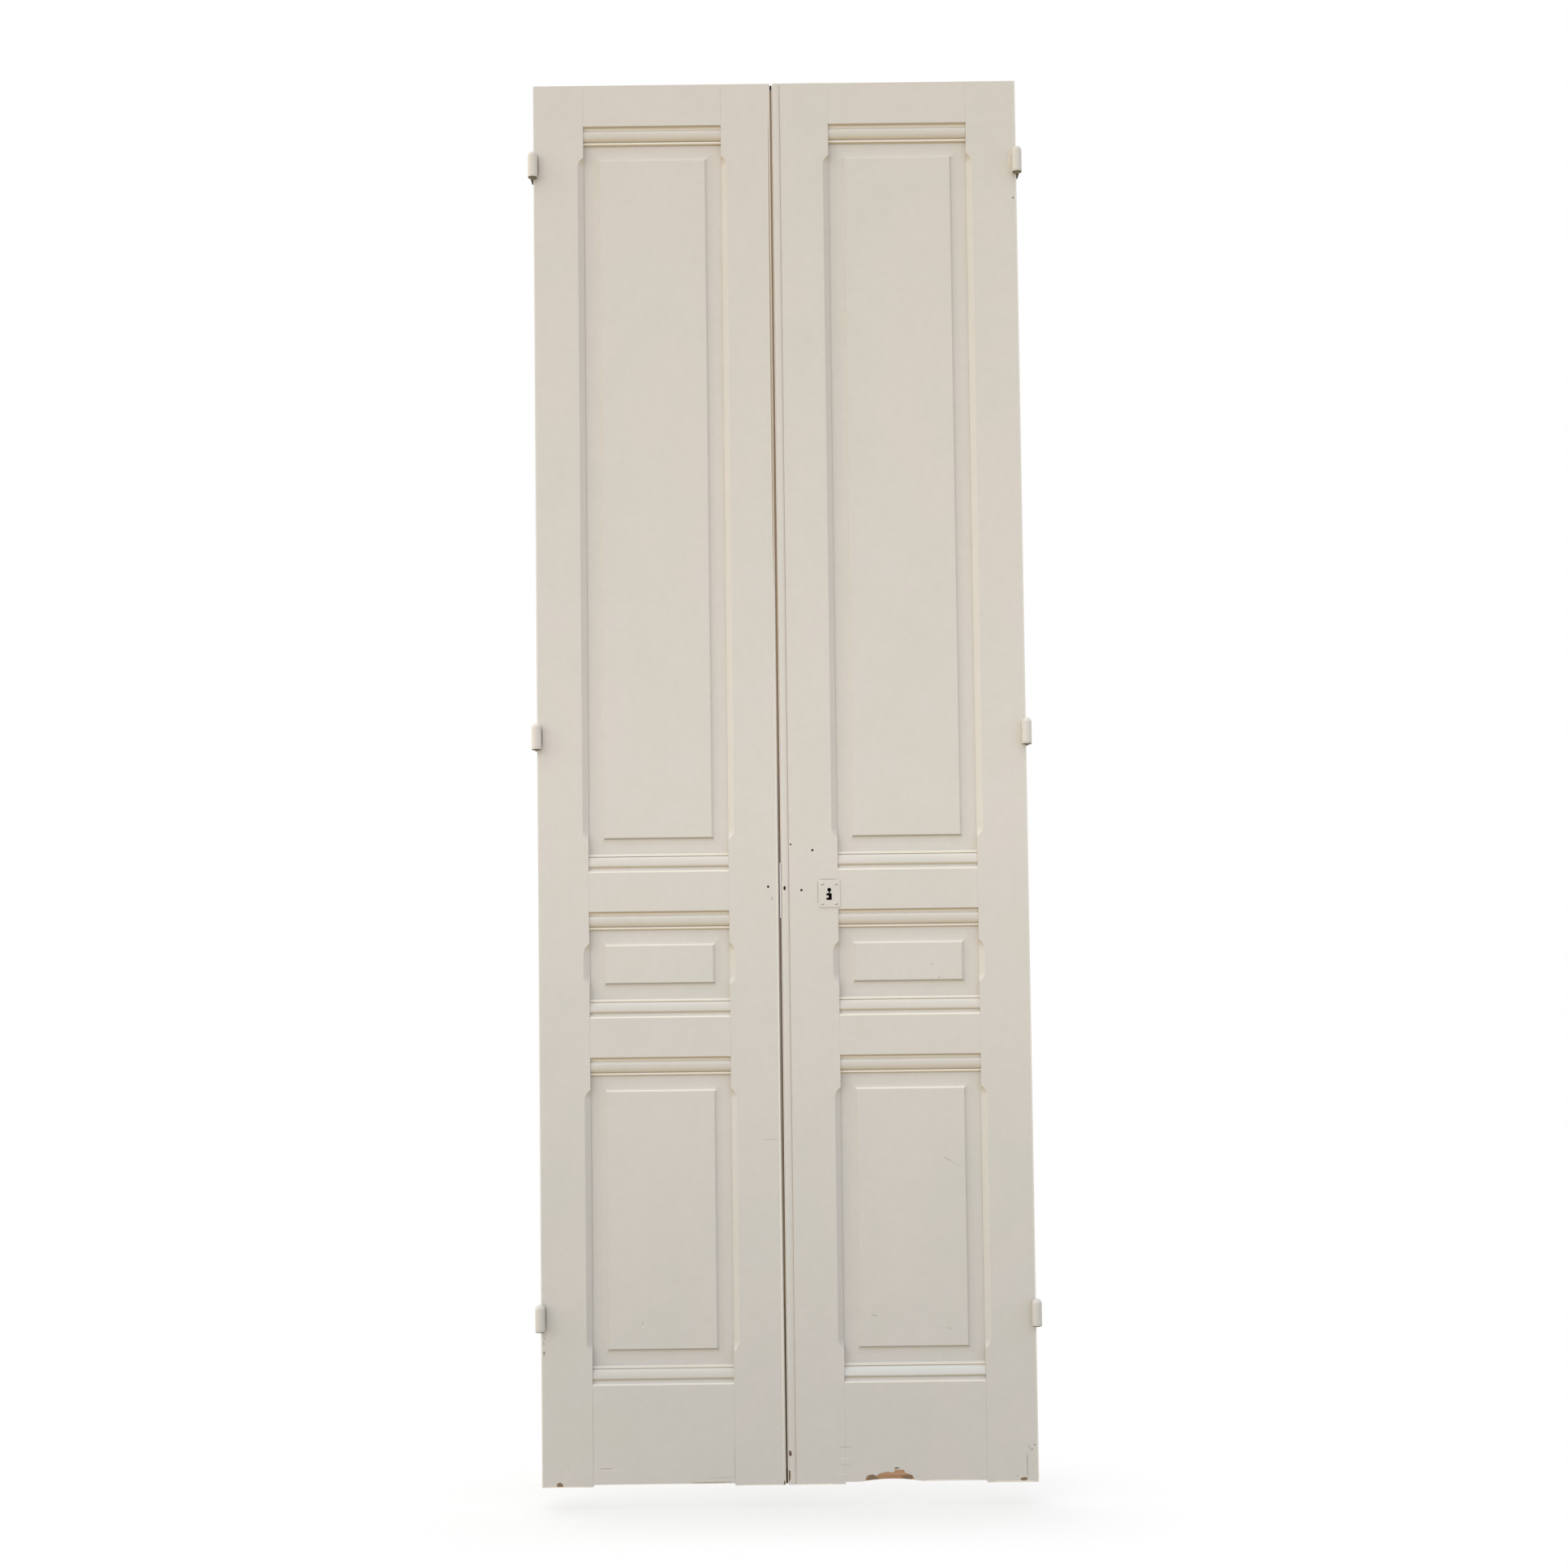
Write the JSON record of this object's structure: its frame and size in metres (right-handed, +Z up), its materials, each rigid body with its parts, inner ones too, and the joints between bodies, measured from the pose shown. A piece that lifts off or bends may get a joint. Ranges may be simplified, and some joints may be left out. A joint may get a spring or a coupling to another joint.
{
  "type": "closet door pair",
  "caption": "Pair of tall painted closet doors with moulded rails, fielded panels and stopped chamfers, on lift-off hinges, with a rim lock and surface bolts at the back.",
  "frame": {"origin": "on the floor line under the stiles, midway between the leaves' outer edges and midway in depth", "axes": "+X to the right leaf, the front faces -Y, +Z up"},
  "size_m": [0.9184, 0.075, 2.58],
  "materials": {
    "painted_wood": "old brushed oil paint, satin",
    "painted_iron": "painted over with the door, satin",
    "iron": "dull, darkened"
  },
  "bodies": {
    "frame_halves": {"left_bottom_hinge_pin": "iron", "left_middle_hinge_pin": "iron", "left_top_hinge_pin": "iron", "right_bottom_hinge_pin": "iron", "right_middle_hinge_pin": "iron", "right_top_hinge_pin": "iron"},
    "left_leaf": {"left_hinge_stile": "painted_wood", "left_meeting_stile": "painted_wood", "left_bottom_rail": "painted_wood", "left_frieze_rail": "painted_wood", "left_lock_rail": "painted_wood", "left_top_rail": "painted_wood", "left_lower_panel": "painted_wood", "left_middle_panel": "painted_wood", "left_upper_panel": "painted_wood", "left_bottom_hinge_barrel": "painted_iron", "left_middle_hinge_barrel": "painted_iron", "left_top_hinge_barrel": "painted_iron", "left_hinge_screws": "iron", "lock_keep": "iron", "lock_keep_screws": "iron", "top_bolt_plate": "iron", "bottom_bolt_plate": "iron", "barrel_bolt_screws": "iron"},
    "right_leaf": {"right_hinge_stile": "painted_wood", "right_meeting_stile": "painted_wood", "right_bottom_rail": "painted_wood", "right_frieze_rail": "painted_wood", "right_lock_rail": "painted_wood", "right_top_rail": "painted_wood", "right_lower_panel": "painted_wood", "right_middle_panel": "painted_wood", "right_upper_panel": "painted_wood", "right_bottom_hinge_barrel": "painted_iron", "right_middle_hinge_barrel": "painted_iron", "right_top_hinge_barrel": "painted_iron", "right_hinge_screws": "iron", "escutcheon": "painted_iron", "escutcheon_nails": "painted_iron", "lock_case": "iron", "lock_cap": "iron", "lock_screws": "iron"},
    "lock_bolt": {"lock_bolt": "iron"},
    "lock_lever": {"lock_lever": "iron"},
    "top_bolt": {"top_bolt_rod": "iron"},
    "bottom_bolt": {"bottom_bolt_rod": "iron"}
  },
  "joints": [
    {"name": "left_swing", "type": "hinge", "parent": "frame_halves", "child": "left_leaf", "pos_m": [-0.4502, -0.0285, 0], "axis": [0, 0, -1], "range_deg": [0, 170]},
    {"name": "right_swing", "type": "hinge", "parent": "frame_halves", "child": "right_leaf", "pos_m": [0.4502, -0.0285, 0], "axis": [0, 0, 1], "range_deg": [0, 170]},
    {"name": "lock_bolt_slide", "type": "slide", "parent": "right_leaf", "child": "lock_bolt", "axis": [-1, 0, 0], "range_m": [0, 0.016]},
    {"name": "lock_lever_lift", "type": "hinge", "parent": "right_leaf", "child": "lock_lever", "pos_m": [0.105, 0.024, 1.097], "axis": [0, 1, 0], "range_deg": [0, 5], "stiffness_Nm_per_rad": 0.05, "springref_deg": -17.19},
    {"name": "top_bolt_slide", "type": "slide", "parent": "left_leaf", "child": "top_bolt", "axis": [0, 0, 1], "range_m": [0, 0.018]},
    {"name": "bottom_bolt_slide", "type": "slide", "parent": "left_leaf", "child": "bottom_bolt", "axis": [0, 0, -1], "range_m": [0, 0.018]}
  ]
}
